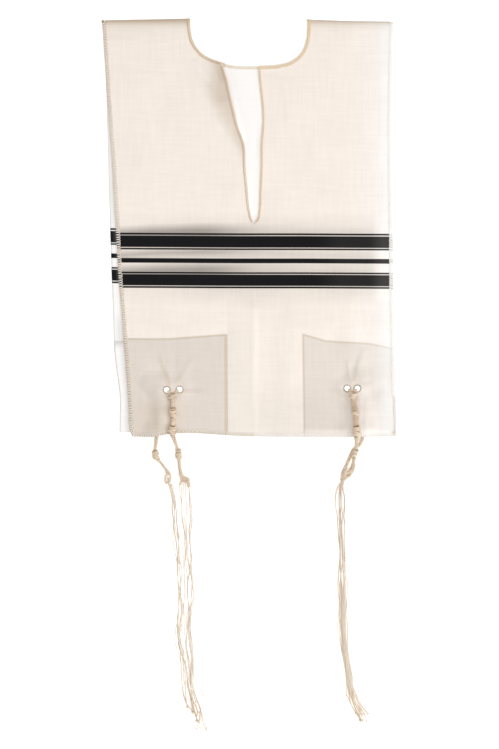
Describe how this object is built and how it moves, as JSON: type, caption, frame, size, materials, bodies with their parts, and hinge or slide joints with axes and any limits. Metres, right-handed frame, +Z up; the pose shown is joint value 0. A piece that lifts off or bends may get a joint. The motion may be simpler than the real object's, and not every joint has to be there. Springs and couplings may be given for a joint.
{
  "type": "tallit katan",
  "caption": "Child's tallit katan laid flat: folded cotton cloth with neck hole, front slit, woven stripes, stiffened corners with eyelets, and knotted tzitzit tassels.",
  "frame": {"origin": "middle of the footprint of the whole garment with its tassels, on the surface that it lies on", "axes": "+Z up off the surface, out of the front; +Y from the hem to the shoulders; +X to the right as the front is seen from above"},
  "size_m": [0.3674, 0.8934, 0.0194],
  "materials": {
    "cotton": "fine plain weave with woven black stripes, matt",
    "patch_cotton": "fine plain weave, matt",
    "string": "twisted natural wool string, matt"
  },
  "bodies": {
    "root": {"body": "cotton", "patch_front_left": "patch_cotton", "patch_front_right": "patch_cotton", "patch_back_left": "patch_cotton", "patch_back_right": "patch_cotton", "tzitzit_front_left": "string", "tzitzit_front_right": "string", "tzitzit_back_left": "string", "tzitzit_back_right": "string"}
  },
  "joints": []
}
